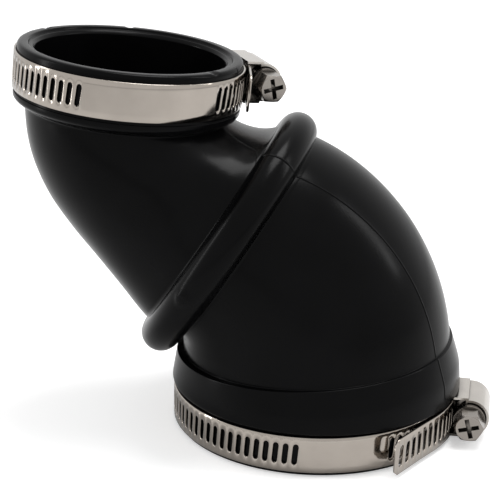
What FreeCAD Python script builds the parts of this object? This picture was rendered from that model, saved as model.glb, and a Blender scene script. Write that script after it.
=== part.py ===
import FreeCAD, Part
import math
import os
from FreeCAD import Vector

# Moulded rubber offset elbow with a worm-drive clamp on each mouth.
# Millimetres. The lower mouth stands on z = 0 with its axis on +Z, and the
# upper mouth is offset towards -X. XZ is the plane of symmetry of the body.

# Lower mouth
LOWER_SEAT_RADIUS = 38.3
LOWER_BORE_RADIUS = 33.3
LOWER_BORE_DEPTH = 19.0
SEAT_HEIGHT = 12.3
SHOULDER_RADIUS = 40.1
SHOULDER_STEP_HEIGHT = 23.4
SHOULDER_CONE_LENGTH = 7.5
SHOULDER_TILT = 4.5
STEP_LEDGE = 0.5

# Upper mouth, measured along its own axis from the middle of its clamp
UPPER_OFFSET = 52.1
UPPER_CENTRE_HEIGHT = 95.4
UPPER_TILT = 5.3
UPPER_SEAT_RADIUS = 30.2
UPPER_BORE_RADIUS = 25.4
UPPER_RIM = 7.0
UPPER_LIP_RADIUS = 30.6
UPPER_LIP_TOP = 5.9
UPPER_LIP_BOTTOM = 7.3
NECK_RADIUS = 27.3
NECK_BOTTOM = 9.4
RIM_ROUND = 1.2
RIM_STEP = 0.8

# Body between the mouths
WALL = 3.5
DOME_START_HEIGHT = 24.0
DOME_START_RADIUS = 37.8
DOME_DIPS = (0, -0.3, -0.45, -0.5, -0.45, -0.3, 0)
DOME_END_EXTRA = 1.7
SHELL_DIPS = (0, 0.6, 2.2, 4.2, 5.2, 4.2, 1.2)
PIVOT_GAP = 0.4
BEAD_CENTRE_X = -24.5
BEAD_CENTRE_Z = 52.9
BEAD_TILT = 57.4
BEAD_RING_RADIUS = 33.3
BEAD_TUBE_RADIUS = 5.2
BEAD_SIDES = 9
BEAD_GROOVE_DEPTH = 5.0
BEAD_GROOVE_HALF_WIDTH = 4.0

# Clamp strip
STRIP_WIDTH = 10.0
STRIP_THICKNESS = 0.65
STRIP_GRIP_CLEARANCE = 0.1
SLOT_PITCH = 2.72
SLOT_WIDTH = 1.45
SLOT_LENGTH = 5.9
SLOT_TILT = 5.0
STRIP_START_ANGLE = 8.0
RISE_START_ANGLE = 314.0
RISE_END_ANGLE = 335.0
TAIL_STRAIGHT_SHARE = 0.55
TAIL_CORNER = 1.2
TAIL_MARGIN = 1.6
START_MARGIN = 12.0

# Clamp saddle and housing
SADDLE_THICKNESS = 0.6
SADDLE_CLEARANCE = 0.12
SADDLE_LENGTH = 16.0
SADDLE_WIDTH = 10.2
HOUSING_WALL = 0.65
HOUSING_INNER_WIDTH = 10.3
HOUSING_ARCH_RADIUS = 4.6
HOUSING_SHOULDER = 1.3
HOUSING_LENGTH = 14.0

# Clamp screw
THREAD_RADIUS = 4.4
THREAD_ROOT_RADIUS = 3.6
THREAD_TURNS = 3
THREAD_ROOT_HALF_WIDTH = 0.62
THREAD_CREST_HALF_WIDTH = 0.36
THREAD_ENGAGEMENT = 0.45
PILOT_RADIUS = 1.5
PILOT_CLEARANCE = 0.08
PILOT_OVERHANG = 0.6
COLLAR_RADIUS = 4.3
COLLAR_THICKNESS = 1.8
COLLAR_GAP = 0.25
HEAD_ACROSS_FLATS = 7.2
HEAD_LENGTH = 5.0
HEAD_CHAMFER = 0.7
RECESS_LENGTH = 5.6
RECESS_WIDTH = 1.2
RECESS_DEPTH = 1.7

# Where each clamp sits: seat, screw direction, tail and plain stretch
LOWER_CLAMP_HEIGHT = 6.1
LOWER_SCREW_ANGLE = -2.0
LOWER_TAIL_ANGLE = 46.0
LOWER_TAIL_FLARE = 4.2
LOWER_PLAIN = (53.0, 88.0)
UPPER_SCREW_ANGLE = 30.0
UPPER_TAIL_ANGLE = 38.0
UPPER_TAIL_FLARE = 0.0
UPPER_PLAIN = (61.0, 138.0)

X_AXIS = Vector(1, 0, 0)
Y_AXIS = Vector(0, 1, 0)
Z_AXIS = Vector(0, 0, 1)


def direction(angle):
    """Unit vector in the XZ plane, angle in degrees from +X towards +Z."""
    return Vector(math.cos(math.radians(angle)), 0, math.sin(math.radians(angle)))


def circle_wire(centre, normal, radius):
    return Part.Wire(Part.makeCircle(radius, centre, normal))


def revolved(points):
    """Solid of revolution about Z from (radius, height) points."""
    outline = Part.makePolygon([Vector(r, 0, z) for r, z in points + points[:1]])
    return Part.Face(outline).revolve(Vector(0, 0, 0), Z_AXIS, 360)


def upper_placement():
    """From the upper mouth's own frame, +Z along its axis, to the part's frame."""
    turn = FreeCAD.Rotation(Y_AXIS, UPPER_TILT)
    return FreeCAD.Placement(Vector(-UPPER_OFFSET, 0, UPPER_CENTRE_HEIGHT), turn)


def fan(start, end, start_radius, end_radius, dips, trim):
    """Loft through circles on planes that fan about the line where the end planes meet.

    start and end are (centre, outward angle) pairs in the symmetry plane.
    dips draw the outer side of each circle in from a straight blend, and trim
    makes every circle smaller by the wall.
    """
    (start_centre, start_angle), (end_centre, end_angle) = start, end
    start_dir, end_dir = direction(start_angle), direction(end_angle)
    gap = end_centre - start_centre
    det = start_dir.x * end_dir.z - start_dir.z * end_dir.x
    pivot = start_centre + start_dir * ((gap.x * end_dir.z - gap.z * end_dir.x) / det)
    start_reach = (start_centre - pivot).dot(start_dir)
    end_reach = (end_centre - pivot).dot(end_dir)
    start_inner = max(start_reach - start_radius, PIVOT_GAP)
    end_inner = max(end_reach - end_radius, PIVOT_GAP)
    wires = []
    for index, dip in enumerate(dips):
        share = index / (len(dips) - 1)
        outer = (start_reach + start_radius) * (1 - share) + (end_reach + end_radius) * share - dip
        inner = end_inner + (start_inner - end_inner) * (1 - share) ** 2
        radial = direction(start_angle + (end_angle - start_angle) * share)
        centre = pivot + radial * ((outer + inner) / 2)
        wires.append(circle_wire(centre, radial.cross(Y_AXIS), (outer - inner) / 2 - trim))
    return Part.makeLoft(wires, True, True), wires


def body_shells(trim):
    """The dome above the lower mouth and the shell below the upper one, as two solids."""
    bead_centre = Vector(BEAD_CENTRE_X, 0, BEAD_CENTRE_Z)
    bead_normal = direction(BEAD_TILT).cross(Y_AXIS)
    away = bead_normal * BEAD_TUBE_RADIUS
    dome, dome_rings = fan((Vector(0, 0, DOME_START_HEIGHT), 0.0), (bead_centre - away, BEAD_TILT),
                           DOME_START_RADIUS, BEAD_RING_RADIUS + DOME_END_EXTRA, DOME_DIPS, trim)
    neck = upper_placement().multVec(Vector(0, 0, -NECK_BOTTOM))
    shell, shell_rings = fan((neck, 180 - UPPER_TILT), (bead_centre + away, 180 + BEAD_TILT),
                             NECK_RADIUS, BEAD_RING_RADIUS, SHELL_DIPS, trim)
    foot_height = LOWER_BORE_DEPTH if trim else SEAT_HEIGHT
    dome_foot = Part.Face(dome_rings[0]).extrude(Vector(0, 0, foot_height - DOME_START_HEIGHT))
    neck_rise = upper_placement().Rotation.multVec(Z_AXIS) * (NECK_BOTTOM - UPPER_LIP_BOTTOM)
    shell_neck = Part.Face(shell_rings[0]).extrude(neck_rise)
    dome_joint = Part.Face(dome_rings[-1]).extrude(away)
    shell_joint = Part.Face(shell_rings[-1]).extrude(away * -1)
    return [dome_foot, dome, dome_joint, shell_neck, shell, shell_joint]


def bead_placement():
    """From the bead's own frame, +Z square to its ring, to the part's frame."""
    turn = FreeCAD.Rotation(Z_AXIS, direction(BEAD_TILT).cross(Y_AXIS))
    return FreeCAD.Placement(Vector(BEAD_CENTRE_X, 0, BEAD_CENTRE_Z), turn)


def bead():
    """Ring whose outer half is round, in BEAD_SIDES cones."""
    outline = [(0, -BEAD_TUBE_RADIUS)]
    for index in range(BEAD_SIDES + 1):
        angle = math.radians(180 * index / BEAD_SIDES - 90)
        outline.append((BEAD_RING_RADIUS + BEAD_TUBE_RADIUS * math.cos(angle), BEAD_TUBE_RADIUS * math.sin(angle)))
    ring = revolved(outline + [(0, BEAD_TUBE_RADIUS)])
    ring.Placement = bead_placement()
    return ring


def bead_groove():
    """The space inside the hollow bead, from its axis out to the bead's own wall."""
    foot = BEAD_RING_RADIUS - WALL
    half = BEAD_GROOVE_HALF_WIDTH
    crown = foot + BEAD_GROOVE_DEPTH
    groove = revolved([(0, -half), (foot, -half), (crown, -half * 0.4), (crown, half * 0.4),
                       (foot, half), (0, half)])
    groove.Placement = bead_placement()
    return groove


def lower_mouth():
    seat = Part.makeCylinder(LOWER_SEAT_RADIUS, SEAT_HEIGHT)
    tall = SHOULDER_STEP_HEIGHT
    top = DOME_START_RADIUS + STEP_LEDGE
    shoulder = revolved([(0, 0), (top, 0), (SHOULDER_RADIUS, -SHOULDER_CONE_LENGTH),
                         (SHOULDER_RADIUS, -tall), (0, -tall)])
    tilt = FreeCAD.Rotation(Y_AXIS, -SHOULDER_TILT)
    shoulder.Placement = FreeCAD.Placement(Vector(0, 0, SHOULDER_STEP_HEIGHT), tilt)
    reach = 2 * SHOULDER_RADIUS
    above_seat = Part.makeBox(2 * reach, 2 * reach, reach, Vector(-reach, -reach, SEAT_HEIGHT))
    shoulder = shoulder.common(above_seat)
    return seat.fuse(shoulder)


def upper_mouth():
    top = UPPER_RIM
    profile = [(0, -NECK_BOTTOM), (NECK_RADIUS, -NECK_BOTTOM),
               (UPPER_LIP_RADIUS - 0.7, -UPPER_LIP_BOTTOM - 0.8),
               (UPPER_LIP_RADIUS, -UPPER_LIP_BOTTOM),
               (UPPER_LIP_RADIUS, -UPPER_LIP_TOP),
               (UPPER_SEAT_RADIUS, -UPPER_LIP_TOP),
               (UPPER_SEAT_RADIUS, top - RIM_ROUND),
               (UPPER_SEAT_RADIUS - RIM_ROUND, top), (0, top)]
    mouth = revolved(profile)
    mouth.Placement = upper_placement()
    return mouth


def bores():
    """Everything that is open inside the body."""
    lower = Part.makeCylinder(LOWER_BORE_RADIUS, LOWER_BORE_DEPTH)
    rim = UPPER_RIM
    step = RIM_STEP
    upper = revolved([(0, -UPPER_LIP_BOTTOM), (UPPER_BORE_RADIUS, -UPPER_LIP_BOTTOM),
                      (UPPER_BORE_RADIUS, rim - 2 * step),
                      (UPPER_BORE_RADIUS + step, rim - step),
                      (UPPER_BORE_RADIUS + 2 * step, rim - step),
                      (UPPER_BORE_RADIUS + 2.5 * step, rim),
                      (0, rim)])
    upper.Placement = upper_placement()
    return lower.fuse([upper, bead_groove()] + body_shells(WALL))


def elbow_body():
    outside = lower_mouth().fuse([upper_mouth(), bead()] + body_shells(0))
    return outside.cut(bores()).removeSplitter()


class ClampSizes:
    """Radii of one clamp's layers, from the seat outwards."""

    def __init__(self, seat_radius):
        self.inner = seat_radius + STRIP_GRIP_CLEARANCE
        self.outer = self.inner + STRIP_THICKNESS
        self.saddle_inner = self.outer + SADDLE_CLEARANCE
        self.saddle_outer = self.saddle_inner + SADDLE_THICKNESS
        self.tail_inner = self.saddle_outer + SADDLE_CLEARANCE
        self.tail_outer = self.tail_inner + STRIP_THICKNESS
        self.screw = self.tail_outer - THREAD_ENGAGEMENT + THREAD_RADIUS
        self.slot_step = math.degrees(SLOT_PITCH / (self.tail_inner + STRIP_THICKNESS / 2))


def polar(radius, angle):
    a = math.radians(angle)
    return Vector(radius * math.cos(a), radius * math.sin(a), 0)


def arc_edges(radius, start, end):
    """Arcs about Z from one angle to another, each under a half circle."""
    count = int(abs(end - start) // 120) + 1
    step = (end - start) / count
    edges = []
    for index in range(count):
        a = start + index * step
        arc = Part.Arc(polar(radius, a), polar(radius, a + step / 2), polar(radius, a + step))
        edges.append(arc.toShape())
    return edges


def curve_edge(radius_at, start, end):
    points = [polar(radius_at(start + (end - start) * i / 6), start + (end - start) * i / 6) for i in range(7)]
    curve = Part.BSplineCurve()
    curve.interpolate(points)
    return curve.toShape()


def strip_edges(sizes, tail_angle, tail_flare, inner):
    """One edge of the strip's path, from its fixed end round to the tail's tip."""
    low = sizes.inner if inner else sizes.outer
    high = sizes.tail_inner if inner else sizes.tail_outer
    tail_start = -360 - tail_angle * TAIL_STRAIGHT_SHARE
    tail_end = -360 - tail_angle

    def rise(angle):
        share = (-angle - RISE_START_ANGLE) / (RISE_END_ANGLE - RISE_START_ANGLE)
        return low + (high - low) * share * share * (3 - 2 * share)

    def flare(angle):
        share = (angle - tail_start) / (tail_end - tail_start)
        return high + tail_flare * share * share

    edges = arc_edges(low, STRIP_START_ANGLE, -RISE_START_ANGLE)
    edges.append(curve_edge(rise, -RISE_START_ANGLE, -RISE_END_ANGLE))
    edges += arc_edges(high, -RISE_END_ANGLE, tail_start)
    edges.append(curve_edge(flare, tail_start, tail_end))
    return edges


def slot_prism(angle, low, high):
    """One slot's cutter, pointing along +X before it is turned to its angle."""
    half_w = SLOT_WIDTH / 2
    half_l = SLOT_LENGTH / 2
    corners = [(-half_w, -half_l), (half_w, -half_l), (half_w, half_l), (-half_w, half_l)]
    points = [Vector(low, y, z) for y, z in corners]
    prism = Part.Face(Part.makePolygon(points + points[:1])).extrude(Vector(high - low, 0, 0))
    prism.rotate(Vector(0, 0, 0), X_AXIS, -SLOT_TILT)
    prism.rotate(Vector(0, 0, 0), Z_AXIS, angle)
    return prism


def strip(sizes, tail_angle, tail_flare, plain):
    inner_edges = strip_edges(sizes, tail_angle, tail_flare, True)
    outer_edges = strip_edges(sizes, tail_angle, tail_flare, False)
    tail_end = -360 - tail_angle
    start_cap = Part.makeLine(polar(sizes.inner, STRIP_START_ANGLE), polar(sizes.outer, STRIP_START_ANGLE))
    tip = sizes.tail_inner + tail_flare
    end_cap = Part.makeLine(polar(tip, tail_end), polar(tip + STRIP_THICKNESS, tail_end))
    outline = Part.Wire(Part.__sortEdges__(inner_edges + [end_cap] + outer_edges + [start_cap]))
    ribbon = Part.Face(outline).extrude(Vector(0, 0, STRIP_WIDTH))
    ribbon.translate(Vector(0, 0, -STRIP_WIDTH / 2))

    between_layers = (sizes.saddle_inner + sizes.saddle_outer) / 2
    beyond_tail = sizes.tail_outer + tail_flare + 1.0
    cutters = []
    on_tail = int((tail_angle - TAIL_MARGIN) // sizes.slot_step)
    on_loop = int((360 - START_MARGIN) // sizes.slot_step)
    for index in range(-on_tail, on_loop + 1):
        back = 360 - index * sizes.slot_step
        if plain[0] < back < plain[1]:
            continue
        low = sizes.inner - 1.0 if back < 360 - START_MARGIN - STRIP_START_ANGLE else between_layers
        high = between_layers if back <= RISE_START_ANGLE else beyond_tail
        cutters.append(slot_prism(-back, low, high))
    ribbon = ribbon.cut(cutters)
    for side in (-1, 1):
        ribbon = ribbon.cut(corner_cutter(tip, tail_end, side))
    return ribbon


def corner_cutter(radius, angle, side):
    """Takes one corner off the tail's tip."""
    half = STRIP_WIDTH / 2
    reach = 3 * STRIP_THICKNESS
    points = [Vector(radius - reach, -0.3, side * (half + 0.3)),
              Vector(radius - reach, TAIL_CORNER, side * (half + 0.3)),
              Vector(radius - reach, -0.3, side * (half - TAIL_CORNER))]
    wedge = Part.Face(Part.makePolygon(points + points[:1])).extrude(Vector(2 * reach, 0, 0))
    wedge.rotate(Vector(0, 0, 0), Z_AXIS, angle)
    return wedge


def saddle(sizes):
    plate = Part.makeCylinder(sizes.saddle_outer, SADDLE_WIDTH, Vector(0, 0, -SADDLE_WIDTH / 2))
    plate = plate.cut(Part.makeCylinder(sizes.saddle_inner, SADDLE_WIDTH, Vector(0, 0, -SADDLE_WIDTH / 2)))
    window = Part.makeBox(sizes.saddle_outer, SADDLE_LENGTH, SADDLE_WIDTH,
                          Vector(sizes.saddle_inner / 2, -SADDLE_LENGTH / 2, -SADDLE_WIDTH / 2))
    return plate.common(window)


def housing(sizes):
    """Pressed cover: an arch over the screw with straight sides down past the strip."""
    half = HOUSING_LENGTH / 2
    base = sizes.saddle_inner

    def arch(half_width, radius, top, length, start):
        sides = Part.makeBox(top - base, length, 2 * half_width, Vector(base, start, -half_width))
        cap = Part.makeCylinder(radius, length, Vector(sizes.screw, start, 0), Y_AXIS)
        return sides.fuse(cap)

    inner_half = HOUSING_INNER_WIDTH / 2
    outer = arch(inner_half + HOUSING_WALL, HOUSING_ARCH_RADIUS + HOUSING_WALL,
                 sizes.screw - HOUSING_SHOULDER + HOUSING_WALL, HOUSING_LENGTH, -half)
    inner = arch(inner_half, HOUSING_ARCH_RADIUS, sizes.screw - HOUSING_SHOULDER,
                 HOUSING_LENGTH, -half)
    cover = outer.cut(inner)
    back = Part.makeBox(sizes.screw + HOUSING_ARCH_RADIUS + 0.3 - sizes.tail_outer - 0.3, HOUSING_WALL,
                        2 * inner_half + 0.4,
                        Vector(sizes.tail_outer + 0.3, half - HOUSING_WALL, -inner_half - 0.2))
    back = back.common(outer)
    pilot = Part.makeCylinder(PILOT_RADIUS + PILOT_CLEARANCE, 3 * HOUSING_WALL,
                              Vector(sizes.screw, half - 2 * HOUSING_WALL, 0), Y_AXIS)
    return cover.fuse(back).cut(pilot)


def screw(sizes):
    """Made along +Z with its head up and the thread centred, then laid along -Y."""
    half = HOUSING_LENGTH / 2
    thread_half = THREAD_TURNS * SLOT_PITCH / 2
    helix = Part.makeHelix(SLOT_PITCH, 2 * thread_half, THREAD_RADIUS)
    root = THREAD_ROOT_RADIUS - 0.15
    corners = [Vector(root, 0, -THREAD_ROOT_HALF_WIDTH), Vector(THREAD_RADIUS, 0, -THREAD_CREST_HALF_WIDTH),
               Vector(THREAD_RADIUS, 0, THREAD_CREST_HALF_WIDTH), Vector(root, 0, THREAD_ROOT_HALF_WIDTH)]
    profile = Part.makePolygon(corners + corners[:1])
    ridge = Part.Wire(helix).makePipeShell([profile], True, True)
    ridge.translate(Vector(0, 0, -thread_half))
    back_inside = -half + HOUSING_WALL + 0.2
    core = Part.makeCylinder(THREAD_ROOT_RADIUS, half + COLLAR_GAP - back_inside, Vector(0, 0, back_inside))
    pilot = Part.makeCylinder(PILOT_RADIUS, HOUSING_WALL + PILOT_OVERHANG + 0.2,
                              Vector(0, 0, -half - PILOT_OVERHANG))
    collar_at = half + COLLAR_GAP
    collar = Part.makeCylinder(COLLAR_RADIUS, COLLAR_THICKNESS, Vector(0, 0, collar_at))
    head_at = collar_at + COLLAR_THICKNESS
    corner = HEAD_ACROSS_FLATS / math.sqrt(3)
    hexagon = [Vector(corner * math.cos(math.radians(60 * i)), corner * math.sin(math.radians(60 * i)), head_at)
               for i in range(7)]
    head = Part.Face(Part.makePolygon(hexagon)).extrude(Vector(0, 0, HEAD_LENGTH))
    chamfer = Part.makeCone(corner + HEAD_LENGTH, corner - HEAD_CHAMFER, HEAD_LENGTH + HEAD_CHAMFER,
                            Vector(0, 0, head_at - HEAD_CHAMFER))
    head = head.common(chamfer)
    for turn in (0, 90):
        slot = Part.makeBox(RECESS_LENGTH, RECESS_WIDTH, RECESS_DEPTH + 1,
                            Vector(-RECESS_LENGTH / 2, -RECESS_WIDTH / 2, head_at + HEAD_LENGTH - RECESS_DEPTH))
        slot.rotate(Vector(0, 0, 0), Z_AXIS, turn + 15)
        head = head.cut(slot)
    whole = core.fuse([ridge, pilot, collar, head])
    whole.rotate(Vector(0, 0, 0), X_AXIS, 90)
    whole.translate(Vector(sizes.screw, 0, 0))
    return whole


def clamp(name, seat_radius, placement, screw_angle, tail_angle, tail_flare, plain):
    sizes = ClampSizes(seat_radius)
    pieces = {
        name + "_band": strip(sizes, tail_angle, tail_flare, plain),
        name + "_saddle": saddle(sizes),
        name + "_housing": housing(sizes),
        name + "_screw": screw(sizes),
    }
    for piece in pieces.values():
        piece.rotate(Vector(0, 0, 0), Z_AXIS, screw_angle)
        piece.Placement = placement.multiply(piece.Placement)
    step = sizes.slot_step
    print(name, "screw axis radius", round(sizes.screw, 3), "band ratio", round(step / 360, 6))
    return pieces


def main():
    os.makedirs("parts", exist_ok=True)
    pieces = {"elbow_body": elbow_body()}
    lower_frame = FreeCAD.Placement(Vector(0, 0, LOWER_CLAMP_HEIGHT), FreeCAD.Rotation())
    pieces.update(clamp("lower", LOWER_SEAT_RADIUS, lower_frame, LOWER_SCREW_ANGLE,
                        LOWER_TAIL_ANGLE, LOWER_TAIL_FLARE, LOWER_PLAIN))
    pieces.update(clamp("upper", UPPER_SEAT_RADIUS, upper_placement(), UPPER_SCREW_ANGLE,
                        UPPER_TAIL_ANGLE, UPPER_TAIL_FLARE, UPPER_PLAIN))
    for name, shape in pieces.items():
        box = shape.BoundBox
        print(name, len(shape.Solids), shape.isValid(), round(shape.Volume, 2),
              [round(v, 2) for v in (box.XMin, box.XMax, box.YMin, box.YMax, box.ZMin, box.ZMax)])
        shape.exportStep("parts/" + name + ".step")


main()
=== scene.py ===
import math
import bpy
import bmesh
import numpy as np
from mathutils import Matrix, Vector

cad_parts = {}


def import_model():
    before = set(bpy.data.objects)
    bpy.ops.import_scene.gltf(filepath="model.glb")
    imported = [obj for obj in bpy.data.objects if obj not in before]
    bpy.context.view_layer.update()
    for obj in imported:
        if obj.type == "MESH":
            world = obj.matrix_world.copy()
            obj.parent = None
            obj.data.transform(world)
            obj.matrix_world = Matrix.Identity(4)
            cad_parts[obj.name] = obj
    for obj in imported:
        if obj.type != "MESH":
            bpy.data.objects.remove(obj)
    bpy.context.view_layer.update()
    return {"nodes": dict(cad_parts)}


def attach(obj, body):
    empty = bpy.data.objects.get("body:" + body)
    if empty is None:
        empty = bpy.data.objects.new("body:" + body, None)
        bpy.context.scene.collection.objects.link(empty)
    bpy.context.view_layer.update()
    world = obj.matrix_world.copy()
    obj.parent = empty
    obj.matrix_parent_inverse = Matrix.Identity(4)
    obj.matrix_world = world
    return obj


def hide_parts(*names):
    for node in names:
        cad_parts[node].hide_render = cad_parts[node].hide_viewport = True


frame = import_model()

# Sizes in millimetres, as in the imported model, turned into metres by MM.
MM = 0.001
SEAT_RADIUS = 38.3
SEAT_TOP = 12.3
BORE_RADIUS = 33.3
BORE_DEPTH = 19.0
SHOULDER_RADIUS = 40.1
STEP_HEIGHT = 23.4
STEP_TILT = 4.5
STEP_LEDGE = 0.5
CONE_LENGTH = 7.5
DOME_HEIGHT = 24.0
DOME_RADIUS = 37.8
DOME_SINK = 8.0
DOME_END_EXTRA = 1.7
DOME_DIPS = (0, -0.3, -0.45, -0.5, -0.45, -0.3, 0)
SHELL_DIPS = (0, 0.6, 2.2, 4.2, 5.2, 4.2, 1.2)
PIVOT_GAP = 0.4
WALL = 3.5
BEAD_CENTRE = (-24.5, 52.9)
BEAD_TILT = 57.4
BEAD_RING = 33.3
BEAD_TUBE = 5.2
BEAD_RINGS = 28
GROOVE_DEPTH = 5.0
GROOVE_HALF_WIDTH = 4.0
GROOVE_CROWN_SHARE = 0.4
UPPER_CENTRE = (-52.1, 95.4)
UPPER_TILT = 5.3
UPPER_SEAT = 30.2
UPPER_BORE = 25.4
UPPER_RIM = 7.0
LIP_RADIUS = 30.6
LIP_TOP = 5.9
LIP_BOTTOM = 7.3
LIP_EASE = 0.7
LIP_EASE_DROP = 0.8
NECK_RADIUS = 27.3
NECK_BOTTOM = 9.4
RIM_ROUND = 1.2
RIM_STEP = 0.8
ROUND_STEPS = 4
ROUND_LIMIT = 0.45

# Where the mould's two halves meet, as an angle about each ring from the bend's outer side
SEAM_ANGLE = -25.0
SEAM_TURN_AT_BEAD = -9.0
SEAM_TURN_AT_NECK = 15.0
SEAM_HALF_WIDTH = 0.26
SEAM_HEIGHT = 0.17

# A round moulding mark on the bead, and nicks in the upper rim, by their angles about those rings
BEAD_MARK_TURN = 256.5
BEAD_MARK_TILT = 17.5
BEAD_MARK_RADIUS = 2.4
BEAD_MARK_HEIGHT = 0.4
BEAD_MARK_EDGE = 5.0
RIM_NICK_TURNS = (103.5, 155.5, 329.5)
RIM_NICK_RADIUS = 1.3
RIM_NICK_DEPTH = 0.6
RIM_NICK_INSET = 1.2
RIM_NICK_EDGE = 2.0

# Clamp strips
STRIP_WIDTH = 10.0
STRIP_THICKNESS = 0.65
STRIP_CLEARANCE = 0.1
SADDLE_THICKNESS = 0.6
SADDLE_CLEARANCE = 0.12
SLOT_PITCH = 2.72
SLOT_WIDTH = 1.45
SLOT_LENGTH = 5.9
SLOT_TILT = 5.0
SLOT_ROUND = 0.13
EDGE_ROUND = 0.1
STRIP_START = -8.0
RISE_START = 314.0
RISE_END = 335.0
TAIL_STRAIGHT_SHARE = 0.55
TAIL_CORNER = 1.2
START_MARGIN = 12.0
TAIL_MARGIN = 1.6
LOWER_CLAMP = {"seat": SEAT_RADIUS, "screw": -2.0, "tail": 54.0, "flare": 4.6, "plain": (53.0, 88.0)}
UPPER_CLAMP = {"seat": UPPER_SEAT, "screw": 30.0, "tail": 38.0, "flare": 1.6, "plain": (61.0, 128.0)}
LOWER_CLAMP_HEIGHT = 6.1

SEGMENTS = 288
FAN_RINGS = 56
SLOT_POINTS = 20

# Camera, fitted to the photograph
CAMERA_AZIMUTH = 7.79
CAMERA_ELEVATION = 18.83
CAMERA_DISTANCE = 404.42
CAMERA_TARGET = (-18.53, 0.0, 47.78)
CAMERA_ROLL = 1.07
FOCAL_PER_WIDTH = 1466.62 / 500
SENSOR_WIDTH = 36.0


def direction(angle):
    """Unit vector in the XZ plane, angle in degrees from +X towards +Z."""
    a = math.radians(angle)
    return np.array([math.cos(a), 0.0, math.sin(a)])


def in_plane(place):
    """The point of the XZ plane at that (x, z)."""
    return np.array([place[0], 0, place[1]])


def seam_samples():
    """Angles round a ring, evenly spaced with extra ones across both seam lines."""
    base = list(np.linspace(0, 360, SEGMENTS, endpoint=False))
    width = math.degrees(SEAM_HALF_WIDTH / SEAT_RADIUS)
    for seam in (SEAM_ANGLE, SEAM_ANGLE + 180):
        base = [a for a in base if abs((a - seam + 180) % 360 - 180) > 3.2 * width]
        base += [(seam + k * width) % 360 for k in (-3, -2, -1, -0.5, 0, 0.5, 1, 2, 3)]
    return np.radians(np.array(sorted(base)))


PHI = seam_samples()
ACROSS = np.array([0.0, 1.0, 0.0])


def ring(centre, outward, radius, turn=0.0):
    """Points of a circle square to the XZ plane. turn shifts them round, so that the seam wanders."""
    c = np.asarray(centre, float)
    phi = PHI + math.radians(turn)
    return c + radius * (np.cos(phi)[:, None] * outward + np.sin(phi)[:, None] * ACROSS)


def fan(start, end, start_radius, end_radius, dips, trim, count, flip, turns):
    """Rings on planes that fan about the line where the end planes meet."""
    (start_centre, start_angle), (end_centre, end_angle) = start, end
    start_dir, end_dir = direction(start_angle), direction(end_angle)
    gap = end_centre - start_centre
    det = start_dir[0] * end_dir[2] - start_dir[2] * end_dir[0]
    pivot = start_centre + start_dir * ((gap[0] * end_dir[2] - gap[2] * end_dir[0]) / det)
    start_reach = (start_centre - pivot) @ start_dir
    end_reach = (end_centre - pivot) @ end_dir
    start_inner = max(start_reach - start_radius, PIVOT_GAP)
    end_inner = max(end_reach - end_radius, PIVOT_GAP)
    knots = np.linspace(0, 1, len(dips))
    rings = []
    for share in np.linspace(0, 1, count):
        dip = smooth_value(knots, dips, share)
        outer = (start_reach + start_radius) * (1 - share) + (end_reach + end_radius) * share - dip
        inner = end_inner + (start_inner - end_inner) * (1 - share) ** 2
        radial = direction(start_angle + (end_angle - start_angle) * share)
        centre = pivot + radial * ((outer + inner) / 2)
        turn = turns[0] + (turns[1] - turns[0]) * share
        rings.append(ring(centre, -radial if flip else radial, (outer - inner) / 2 - trim, turn))
    return rings


def smooth_value(knots, values, at):
    """Catmull-Rom value through evenly spaced knots."""
    step = knots[1] - knots[0]
    index = min(int(at / step), len(knots) - 2)
    t = at / step - index
    padded = [2 * values[0] - values[1]] + list(values) + [2 * values[-1] - values[-2]]
    a, b, c, d = padded[index:index + 4]
    return b + 0.5 * t * (c - a + t * (2 * a - 5 * b + 4 * c - d + t * (3 * (b - c) + d - a)))


def upper_ring(radius, height):
    """A ring of the upper mouth, height along its axis from the clamp's middle."""
    axis = direction(90 - UPPER_TILT)
    centre = in_plane(UPPER_CENTRE) + axis * height
    return ring(centre, direction(-UPPER_TILT), radius, SEAM_TURN_AT_NECK)


def bead_ring(radius, height):
    """A ring about the bead's axis, height from the bead's plane towards the upper mouth."""
    axis = direction(BEAD_TILT + 90)
    centre = in_plane(BEAD_CENTRE) + axis * height
    return ring(centre, direction(BEAD_TILT), radius, SEAM_TURN_AT_BEAD)


def lower_ring(radius, height):
    """A ring of the lower mouth at that height."""
    return ring((0, 0, height), np.array([1.0, 0, 0]), radius)


def tilted_ring(radius, drop):
    """A ring of the shoulder, drop below its tilted top edge."""
    axis = direction(90 + STEP_TILT)
    return ring(np.array([0, 0, STEP_HEIGHT]) - axis * drop, direction(STEP_TILT), radius)


def dropped(points, axis, height):
    """Each point moved along axis until it is at that height."""
    move = (height - points[:, 2]) / axis[2]
    return points + move[:, None] * axis


def from_plane(rings, centre, axis, count):
    """The stack of rings cut where it leaves the plane, and spaced evenly from there to its end."""
    stack = np.array(rings)
    side = (stack - centre) @ axis
    out = np.empty((count, stack.shape[1], 3))
    for k in range(stack.shape[1]):
        first = int(np.nonzero(side[:, k] > 0)[0][0])
        share = side[first - 1, k] / (side[first - 1, k] - side[first, k])
        cut = stack[first - 1, k] + share * (stack[first, k] - stack[first - 1, k])
        line = np.vstack([cut, stack[first:, k]])
        run = np.concatenate([[0], np.cumsum(np.linalg.norm(np.diff(line, axis=0), axis=1))])
        at = np.linspace(0, run[-1], count)
        out[:, k] = np.stack([np.interp(at, run, line[:, j]) for j in range(3)], axis=1)
    return list(out)


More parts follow.
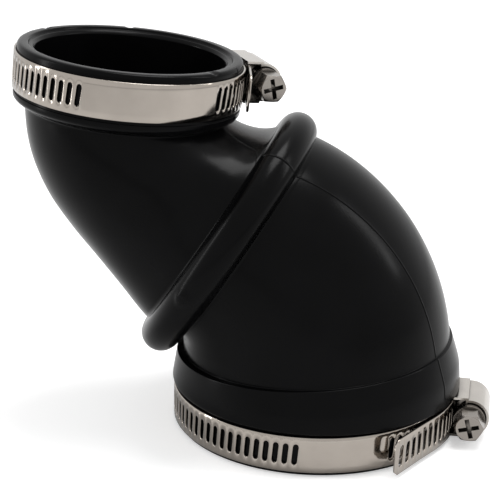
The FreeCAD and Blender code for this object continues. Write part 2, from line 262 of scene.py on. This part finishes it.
def rounded(stack):
    """Rings with each marked corner turned into a small round. stack holds (ring, radius) pairs."""
    rings = []
    for index, (points, radius) in enumerate(stack):
        if radius == 0:
            rings.append(points)
            continue
        before, after = stack[index - 1][0], stack[(index + 1) % len(stack)][0]
        reach_before = np.linalg.norm(before - points, axis=1)[:, None]
        reach_after = np.linalg.norm(after - points, axis=1)[:, None]
        start = points + (before - points) * np.minimum(radius / reach_before, ROUND_LIMIT)
        end = points + (after - points) * np.minimum(radius / reach_after, ROUND_LIMIT)
        for t in np.linspace(0, 1, ROUND_STEPS + 1):
            rings.append((1 - t) ** 2 * start + 2 * t * (1 - t) * points + t * t * end)
    return rings


def ring_count(stack):
    """How many rings a stack gives once its corners are rounded."""
    return sum(ROUND_STEPS + 1 if radius else 1 for _, radius in stack)


def body_stack():
    """All rings of the elbow from the lower mouth's foot over the outside, then down the inside."""
    bead_centre = in_plane(BEAD_CENTRE)
    away = direction(BEAD_TILT + 90) * BEAD_TUBE
    neck = in_plane(UPPER_CENTRE) - direction(90 - UPPER_TILT) * NECK_BOTTOM

    def dome(trim, count):
        return fan((np.array([0, 0, DOME_HEIGHT]), 0.0), (bead_centre - away, BEAD_TILT), DOME_RADIUS,
                   BEAD_RING + DOME_END_EXTRA, DOME_DIPS, trim, count, False, (0, SEAM_TURN_AT_BEAD))

    def shell(trim, count):
        return fan((neck, 180 - UPPER_TILT), (bead_centre + away, 180 + BEAD_TILT), NECK_RADIUS,
                   BEAD_RING, SHELL_DIPS, trim, count, True, (SEAM_TURN_AT_NECK, SEAM_TURN_AT_BEAD))

    tilt_axis = direction(90 + STEP_TILT)
    cone_foot = tilted_ring(SHOULDER_RADIUS, CONE_LENGTH)
    stack = [(lower_ring(SEAT_RADIUS, 0), 0.6), (lower_ring(SEAT_RADIUS, SEAT_TOP), 0.2),
             (dropped(cone_foot, tilt_axis, SEAT_TOP), 0.5), (cone_foot, 1.5),
             (tilted_ring(DOME_RADIUS + STEP_LEDGE, 0), 0.35)]
    outside = dome(0, FAN_RINGS)
    foot = outside[0] - np.array([0, 0, DOME_SINK])
    risen = from_plane([foot] + outside, np.array([0, 0, STEP_HEIGHT]), tilt_axis, FAN_RINGS)
    stack += [(risen[0], 0.25)] + [(r, 0) for r in risen[1:]]
    dome_side = math.sqrt(BEAD_TUBE ** 2 - DOME_END_EXTRA ** 2)
    first = math.asin(-dome_side / BEAD_TUBE)
    for index, a in enumerate(np.linspace(first, math.pi / 2, BEAD_RINGS)):
        stack.append((bead_ring(BEAD_RING + BEAD_TUBE * math.cos(a), BEAD_TUBE * math.sin(a)),
                      0.5 if index == 0 else 0))
    down = shell(0, FAN_RINGS)
    stack += [(r, 0) for r in reversed(down[1:])]
    stack += [(upper_ring(NECK_RADIUS, -NECK_BOTTOM), 0.8),
              (upper_ring(LIP_RADIUS - LIP_EASE, -LIP_BOTTOM - LIP_EASE_DROP), 0.4),
              (upper_ring(LIP_RADIUS, -LIP_BOTTOM), 0.4), (upper_ring(LIP_RADIUS, -LIP_TOP), 0.2),
              (upper_ring(UPPER_SEAT, -LIP_TOP), 0.15), (upper_ring(UPPER_SEAT, UPPER_RIM), RIM_ROUND)]
    inner = UPPER_BORE
    step = RIM_STEP
    stack += [(upper_ring(inner + 2.5 * step, UPPER_RIM), 0.35),
              (upper_ring(inner + 2 * step, UPPER_RIM - step), 0.2),
              (upper_ring(inner + step, UPPER_RIM - step), 0.3),
              (upper_ring(inner, UPPER_RIM - 2 * step), 0.3), (upper_ring(inner, -LIP_BOTTOM), 0.3),
              (upper_ring(NECK_RADIUS - WALL, -LIP_BOTTOM), 0.3)]
    stack += [(r, 0) for r in shell(WALL, FAN_RINGS // 2)]
    foot_radius = BEAD_RING - WALL
    crown = foot_radius + GROOVE_DEPTH
    half = GROOVE_HALF_WIDTH
    crown_half = half * GROOVE_CROWN_SHARE
    stack += [(bead_ring(foot_radius, half), 0.8), (bead_ring(crown, crown_half), 0.8),
              (bead_ring(crown, -crown_half), 0.8), (bead_ring(foot_radius + DOME_END_EXTRA, -half), 0.8)]
    stack += [(r, 0) for r in reversed(dome(WALL, FAN_RINGS // 2))]
    inner_foot = dome(WALL, 2)[0]
    stack += [(dropped(inner_foot, np.array([0, 0, 1.0]), BORE_DEPTH), 0.3),
              (lower_ring(BORE_RADIUS, BORE_DEPTH), 0.3), (lower_ring(BORE_RADIUS, 0), 0.8)]
    return stack


def mesh_object(name, vertices, faces, smooth=True):
    mesh = bpy.data.meshes.new(name)
    mesh.from_pydata([tuple(v) for v in vertices], [], faces)
    mesh.update()
    for polygon in mesh.polygons:
        polygon.use_smooth = smooth
    piece = bpy.data.objects.new(name, mesh)
    bpy.context.scene.collection.objects.link(piece)
    return piece


def closed_tube(name, rings):
    """One closed mesh from a loop of rings with as many points each."""
    count = len(PHI)
    vertices = np.vstack(rings) * MM
    faces = []
    for i in range(len(rings)):
        j = (i + 1) % len(rings)
        for k in range(count):
            m = (k + 1) % count
            faces.append((i * count + k, i * count + m, j * count + m, j * count + k))
    return mesh_object(name, vertices, faces)


def raise_seam(rings, outside_count):
    """Lifts the thin line that the mould's parting leaves, on the outer rings alone."""
    width = SEAM_HALF_WIDTH / SEAT_RADIUS
    for index in range(outside_count):
        points = rings[index]
        centre = points.mean(axis=0)
        for seam in (SEAM_ANGLE, SEAM_ANGLE + 180):
            off = (PHI - math.radians(seam) + math.pi) % (2 * math.pi) - math.pi
            lift = SEAM_HEIGHT * np.clip(1 - np.abs(off) / width, 0, 1)
            out = points - centre
            points = points + out / np.linalg.norm(out, axis=1)[:, None] * lift[:, None]
        rings[index] = points


def push(rings, outside_count, place, reach, move, edge):
    """Moves the outer rings' points within reach of a place. edge is how steeply the move fades."""
    for index in range(outside_count):
        off = np.linalg.norm(rings[index] - place, axis=1)
        rings[index] = rings[index] + np.clip(edge * (1 - off / reach), 0, 1)[:, None] * move


def mark(rings, outside_count):
    """Adds the round mark on the bead and the nicks in the upper rim."""
    turn, tilt = math.radians(BEAD_MARK_TURN), math.radians(BEAD_MARK_TILT)
    radial = math.cos(turn) * direction(BEAD_TILT) + math.sin(turn) * ACROSS
    normal = math.cos(tilt) * radial + math.sin(tilt) * direction(BEAD_TILT + 90)
    place = in_plane(BEAD_CENTRE) + BEAD_RING * radial + BEAD_TUBE * normal
    push(rings, outside_count, place, BEAD_MARK_RADIUS, BEAD_MARK_HEIGHT * normal, BEAD_MARK_EDGE)
    axis = direction(90 - UPPER_TILT)
    for angle in RIM_NICK_TURNS:
        a = math.radians(angle)
        out = math.cos(a) * direction(-UPPER_TILT) + math.sin(a) * ACROSS
        place = in_plane(UPPER_CENTRE) + UPPER_RIM * axis + (UPPER_SEAT - RIM_NICK_INSET) * out
        push(rings, outside_count, place, RIM_NICK_RADIUS, -RIM_NICK_DEPTH * axis, RIM_NICK_EDGE)


def new_material(name):
    material = bpy.data.materials.new(name)
    material.use_nodes = True
    nodes = material.node_tree.nodes
    return material, nodes, material.node_tree.links, nodes["Principled BSDF"]


def noise(nodes, links, scale, detail, stretch=None):
    """A noise texture in the piece's own coordinates, stretched along them if asked."""
    coords = nodes.new("ShaderNodeTexCoord")
    texture = nodes.new("ShaderNodeTexNoise")
    texture.inputs["Scale"].default_value = scale
    texture.inputs["Detail"].default_value = detail
    if stretch:
        mapping = nodes.new("ShaderNodeMapping")
        mapping.inputs["Scale"].default_value = stretch
        links.new(coords.outputs["Object"], mapping.inputs["Vector"])
        links.new(mapping.outputs["Vector"], texture.inputs["Vector"])
    else:
        links.new(coords.outputs["Object"], texture.inputs["Vector"])
    return texture


def ramped(nodes, links, source, dark, pale):
    """The source as a colour. dark and pale are each a position and a colour."""
    ramp = nodes.new("ShaderNodeValToRGB")
    for element, (position, colour) in zip(ramp.color_ramp.elements, (dark, pale)):
        element.position = position
        element.color = (*colour, 1)
    links.new(source, ramp.inputs["Fac"])
    return ramp.outputs["Color"]


def ranged(nodes, links, source, low, high, from_low=0.3, from_high=0.7):
    """The source spread over low to high."""
    spread = nodes.new("ShaderNodeMapRange")
    spread.inputs["From Min"].default_value = from_low
    spread.inputs["From Max"].default_value = from_high
    spread.inputs["To Min"].default_value = low
    spread.inputs["To Max"].default_value = high
    links.new(source, spread.inputs["Value"])
    return spread.outputs["Result"]


def bumped(nodes, links, shader, height, strength, distance):
    bump = nodes.new("ShaderNodeBump")
    bump.inputs["Strength"].default_value = strength
    bump.inputs["Distance"].default_value = distance
    links.new(height, bump.inputs["Height"])
    links.new(bump.outputs["Normal"], shader.inputs["Normal"])


def rubber_material():
    """Glossy black moulded rubber: faint cloudy colour, patchy gloss and a fine skin."""
    material, nodes, links, shader = new_material("rubber_black")
    cloud = noise(nodes, links, 45.0, 4.0)
    colour = ramped(nodes, links, cloud.outputs["Fac"], (0.3, (0.0013, 0.0013, 0.0014)),
                    (0.75, (0.0028, 0.0028, 0.0031)))
    links.new(colour, shader.inputs["Base Color"])
    links.new(ranged(nodes, links, cloud.outputs["Fac"], 0.17, 0.25), shader.inputs["Roughness"])
    skin = noise(nodes, links, 1400.0, 2.0)
    bumped(nodes, links, shader, skin.outputs["Fac"], 0.12, 0.00006)
    shader.inputs["Specular IOR Level"].default_value = 0.06
    return material


def steel_material(name, colour, low, high, grain, corner_shade=0.5):
    """Bright stainless steel: warm tint, gloss from low to high, fine rolling marks, and painted shade that
    darkens its corners and recesses.
    """
    material, nodes, links, shader = new_material(name)
    shader.inputs["Metallic"].default_value = 1.0
    cloud = noise(nodes, links, 160.0, 5.0)
    clean = ramped(nodes, links, cloud.outputs["Fac"], (0.25, [0.86 * c for c in colour]), (0.8, colour))
    # Painted shade: an ambient occlusion node darkens the base colour in corners, recesses and where parts
    # meet.
    corners = nodes.new("ShaderNodeAmbientOcclusion")
    corners.inputs["Distance"].default_value = 0.0022
    corners.samples = 8
    painted_corner_shade = ranged(nodes, links, corners.outputs["AO"], corner_shade, 1.0, 0.35, 0.95)
    shade = nodes.new("ShaderNodeMix")
    shade.data_type = "RGBA"
    shade.blend_type = "MULTIPLY"
    shade.inputs[0].default_value = 1.0
    links.new(clean, shade.inputs[6])
    links.new(painted_corner_shade, shade.inputs[7])
    links.new(shade.outputs[2], shader.inputs["Base Color"])
    links.new(ranged(nodes, links, cloud.outputs["Fac"], low, high), shader.inputs["Roughness"])
    marks = noise(nodes, links, 300.0, 3.0, grain)
    bumped(nodes, links, shader, marks.outputs["Fac"], 0.06, 0.00005)
    return material


def elbow():
    stack = body_stack()
    rim = [radius for _, radius in stack].index(RIM_ROUND) + 1
    rings = rounded(stack)
    raise_seam(rings, ring_count(stack[:rim]))
    mark(rings, ring_count(stack[:rim + 1]))
    body = closed_tube("elbow_skin", rings)
    body.data.materials.append(rubber_material())
    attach(body, "elbow")
    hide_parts("elbow_body")


def strip_radius(clamp, back):
    """Radius of the strip's inner face, back degrees from the screw along the strip."""
    low = clamp["seat"] + STRIP_CLEARANCE
    high = low + STRIP_THICKNESS + 2 * SADDLE_CLEARANCE + SADDLE_THICKNESS
    rise = min(max((back - RISE_START) / (RISE_END - RISE_START), 0), 1)
    radius = low + (high - low) * rise * rise * (3 - 2 * rise)
    straight = 360 + clamp["tail"] * TAIL_STRAIGHT_SHARE
    share = max((back - straight) / (360 + clamp["tail"] - straight), 0)
    return radius + clamp["flare"] * share * share


def slot_outline(grow):
    """SLOT_POINTS points round a slot with round ends, grown by that much: foot, side, top, other side."""
    half_w = SLOT_WIDTH / 2 + grow
    straight = SLOT_LENGTH / 2 - SLOT_WIDTH / 2
    points = []
    for turn, sign in ((180, -1), (0, 1)):
        for k in range(5):
            a = math.radians(turn + 45 * k)
            points.append((half_w * math.cos(a), sign * straight + half_w * math.sin(a)))
        for k in range(1, 6):
            points.append((-sign * half_w, sign * straight * (1 - k / 3)))
    lean = math.radians(SLOT_TILT)
    cos, sin = math.cos(lean), math.sin(lean)
    return [(x * cos + z * sin, z * cos - x * sin) for x, z in points]


def band(name, clamp, place):
    """The slotted strip, built cell by cell. place turns clamp coordinates into the part's."""
    high = strip_radius(clamp, 350.0)
    step = math.degrees(SLOT_PITCH / (high + STRIP_THICKNESS / 2))
    end = 360 + clamp["tail"]
    half = STRIP_WIDTH / 2
    edge = half - EDGE_ROUND
    side = [edge * k / 3 for k in (-2, -1, 0, 1, 2)]
    rows = [-edge] + side + [edge]
    top = STRIP_THICKNESS
    vertices, index_of, faces = [], {}, []

    def vert(back, z, h):
        key = (round(back, 4), round(z, 4), round(h, 4))
        if key not in index_of:
            from_tip = math.radians(end - back) * high
            narrow = 1 - max(TAIL_CORNER - from_tip, 0) / half
            radius = strip_radius(clamp, back) + h
            angle = math.radians(clamp["screw"] - back)
            index_of[key] = len(vertices)
            vertices.append(place(radius * math.cos(angle), radius * math.sin(angle), z * narrow))
        return index_of[key]

    def quad(*corners):
        faces.append([vert(*c) for c in corners])

    def edges(a, b):
        for z in (-1, 1):
            quad((a, z * edge, top), (b, z * edge, top), (b, z * half, top - EDGE_ROUND),
                 (a, z * half, top - EDGE_ROUND))
            quad((a, z * half, top - EDGE_ROUND), (b, z * half, top - EDGE_ROUND), (b, z * half, EDGE_ROUND),
                 (a, z * half, EDGE_ROUND))
            quad((a, z * half, EDGE_ROUND), (b, z * half, EDGE_ROUND), (b, z * edge, 0), (a, z * edge, 0))

    def plain(a, b):
        edges(a, b)
        for low, up in zip(rows, rows[1:]):
            for h in (0, top):
                quad((a, low, h), (b, low, h), (b, up, h), (a, up, h))

    def slotted(middle):
        a, b = middle - step / 2, middle + step / 2
        stations = [b + (a - b) * k / 4 for k in range(5)]
        for left, right in zip(stations, stations[1:]):
            edges(left, right)
        outer = [(s, -edge) for s in stations] + [(a, z) for z in side]
        outer += [(s, edge) for s in reversed(stations)] + [(b, z) for z in reversed(side)]
        degrees = step / SLOT_PITCH
        wide = [(middle - x * degrees, z) for x, z in slot_outline(SLOT_ROUND)]
        tight = [(middle - x * degrees, z) for x, z in slot_outline(0)]
        heights = (top, top, top - SLOT_ROUND, SLOT_ROUND, 0, 0)
        outlines = (outer, wide, tight, tight, wide, outer)
        loops = [[p + (h,) for p in outline] for outline, h in zip(outlines, heights)]
        for upper, lower in zip(loops, loops[1:]):
            for k in range(SLOT_POINTS):
                m = (k + 1) % SLOT_POINTS
                quad(upper[k], upper[m], lower[m], lower[k])

    def cap(back):
        outline = [(-edge, top), (-half, top - EDGE_ROUND), (-half, EDGE_ROUND), (-edge, 0)]
        outline += [(z, 0) for z in side]
        outline += [(edge, 0), (half, EDGE_ROUND), (half, top - EDGE_ROUND), (edge, top)]
        outline += [(z, top) for z in reversed(side)]
        faces.append([vert(back, z, h) for z, h in outline])

    on_tail = int((clamp["tail"] - TAIL_MARGIN) // step)
    on_loop = int((360 - START_MARGIN) // step)
    middles = [360 - k * step for k in range(-on_tail, on_loop + 1)]
    for middle in middles:
        if clamp["plain"][0] < middle < clamp["plain"][1]:
            for k in range(4):
                plain(middle + step * (k / 4 - 0.5), middle + step * (k / 4 - 0.25))
        else:
            slotted(middle)
    first, last = min(middles) - step / 2, max(middles) + step / 2
    fold = end - math.degrees(TAIL_CORNER / high)
    starts = list(np.linspace(STRIP_START, first, 12))
    ends = sorted([last, (last + fold) / 2, fold, (fold + end) / 2, end]) if last < fold else [last, end]
    for run in (starts, ends):
        for a, b in zip(run, run[1:]):
            plain(a, b)
    cap(STRIP_START)
    cap(end)
    piece = mesh_object(name + "_slotted", np.array(vertices) * MM, faces)
    shape = bmesh.new()
    shape.from_mesh(piece.data)
    bmesh.ops.remove_doubles(shape, verts=shape.verts, dist=1e-7)
    bmesh.ops.recalc_face_normals(shape, faces=shape.faces)
    shape.to_mesh(piece.data)
    shape.free()
    piece.data.set_sharp_from_angle(angle=math.radians(50))
    return piece


def lower_place(x, y, z):
    return (x, y, z + LOWER_CLAMP_HEIGHT)


def upper_place(x, y, z):
    out, axis = direction(-UPPER_TILT), direction(90 - UPPER_TILT)
    return (UPPER_CENTRE[0] + x * out[0] + z * axis[0], y, UPPER_CENTRE[1] + x * out[2] + z * axis[2])


def bands(material):
    """Both slotted strips, each parented to its own body."""
    for side, clamp, place in (("lower", LOWER_CLAMP, lower_place), ("upper", UPPER_CLAMP, upper_place)):
        piece = band(side + "_band", clamp, place)
        piece.data.materials.append(material)
        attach(piece, side + "_strip")
        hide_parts(side + "_band")


def paint_clamps():
    """Steel on the strips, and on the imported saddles, housings and screws."""
    strip = steel_material("strip_steel", (0.41, 0.37, 0.33), 0.07, 0.15, (1.0, 1.0, 14.0))
    pressing = steel_material("pressing_steel", (0.56, 0.525, 0.485), 0.12, 0.24, (1.0, 1.0, 1.0))
    # The screws' last number makes their painted shade in the recesses much darker than on the other steel.
    screw = steel_material("screw_steel", (0.30, 0.275, 0.25), 0.14, 0.28, (2.0, 2.0, 2.0), 0.12)
    bands(strip)
    finish = {"saddle": pressing, "housing": pressing, "screw": screw}
    for name, piece in frame["nodes"].items():
        kind = name.split("_")[-1]
        if kind in finish:
            for index in range(len(piece.material_slots)):
                piece.material_slots[index].material = finish[kind]


def camera():
    az, el, roll = (math.radians(v) for v in (CAMERA_AZIMUTH, CAMERA_ELEVATION, CAMERA_ROLL))
    back = np.array([math.cos(el) * math.sin(az), -math.cos(el) * math.cos(az), math.sin(el)])
    level = np.array([math.cos(az), math.sin(az), 0.0])
    above = np.cross(back, level)
    right = math.cos(roll) * level + math.sin(roll) * above
    up = -math.sin(roll) * level + math.cos(roll) * above
    place = (np.array(CAMERA_TARGET) + CAMERA_DISTANCE * back) * MM
    data = bpy.data.cameras.new("camera")
    data.sensor_fit = "HORIZONTAL"
    data.sensor_width = SENSOR_WIDTH
    data.lens = SENSOR_WIDTH * FOCAL_PER_WIDTH
    data.clip_start = 0.01
    data.clip_end = 10.0
    eye = bpy.data.objects.new("camera", data)
    bpy.context.scene.collection.objects.link(eye)
    eye.matrix_world = Matrix([[right[i], up[i], back[i], place[i]] for i in range(3)] + [[0, 0, 0, 1]])
    bpy.context.scene.camera = eye


def softbox(name, place, aim, size, power):
    """An area lamp of that width and height in metres, turned towards aim."""
    data = bpy.data.lights.new(name, "AREA")
    data.shape = "RECTANGLE"
    data.size, data.size_y = size
    data.energy = power
    lamp = bpy.data.objects.new(name, data)
    lamp.location = place
    lamp.rotation_euler = (Vector(aim) - Vector(place)).to_track_quat("-Z", "Y").to_euler()
    bpy.context.scene.collection.objects.link(lamp)


def world():
    """White to the camera, in reflections and through glass, and dimmer as a lamp."""
    surroundings = bpy.data.worlds.new("studio")
    bpy.context.scene.world = surroundings
    surroundings.use_nodes = True
    nodes, links = surroundings.node_tree.nodes, surroundings.node_tree.links
    path = nodes.new("ShaderNodeLightPath")
    seen = path.outputs["Is Camera Ray"]
    for kind in ("Is Glossy Ray", "Is Transmission Ray"):
        either = nodes.new("ShaderNodeMath")
        either.operation = "MAXIMUM"
        links.new(seen, either.inputs[0])
        links.new(path.outputs[kind], either.inputs[1])
        seen = either.outputs["Value"]
    pick = nodes.new("ShaderNodeMix")
    pick.data_type = "FLOAT"
    links.new(seen, pick.inputs[0])
    pick.inputs[2].default_value = 0.7
    pick.inputs[3].default_value = 1.0
    links.new(pick.outputs[0], nodes["Background"].inputs["Strength"])
    nodes["Background"].inputs["Color"].default_value = (1, 1, 1, 1)


def floor():
    """A pale floor that keeps the shadow and looks white to the camera."""
    size = 3.0
    corners = [(-size, -size, 0), (size, -size, 0), (size, size, 0), (-size, size, 0)]
    ground = mesh_object("floor", corners, [(0, 1, 2, 3)], False)
    material, nodes, links, shader = new_material("floor_pale")
    shader.inputs["Base Color"].default_value = (0.86, 0.86, 0.86, 1)
    shader.inputs["Roughness"].default_value = 0.9
    path = nodes.new("ShaderNodeLightPath")
    links.new(path.outputs["Is Camera Ray"], shader.inputs["Emission Strength"])
    shader.inputs["Emission Color"].default_value = (0.4, 0.4, 0.4, 1)
    ground.data.materials.append(material)


elbow()
paint_clamps()
camera()
world()
floor()
softbox("top", (0.12, 0.12, 0.9), (0, 0, 0.05), (0.4, 0.4), 5.0)
softbox("left_strip", (-0.7, -0.12, 0.25), (-0.03, 0, 0.05), (0.08, 0.6), 1.2)
softbox("right_strip", (0.68, 0.1, 0.5), (0, 0, 0.05), (0.07, 0.5), 1.1)
bpy.context.scene.view_settings.view_transform = "Standard"
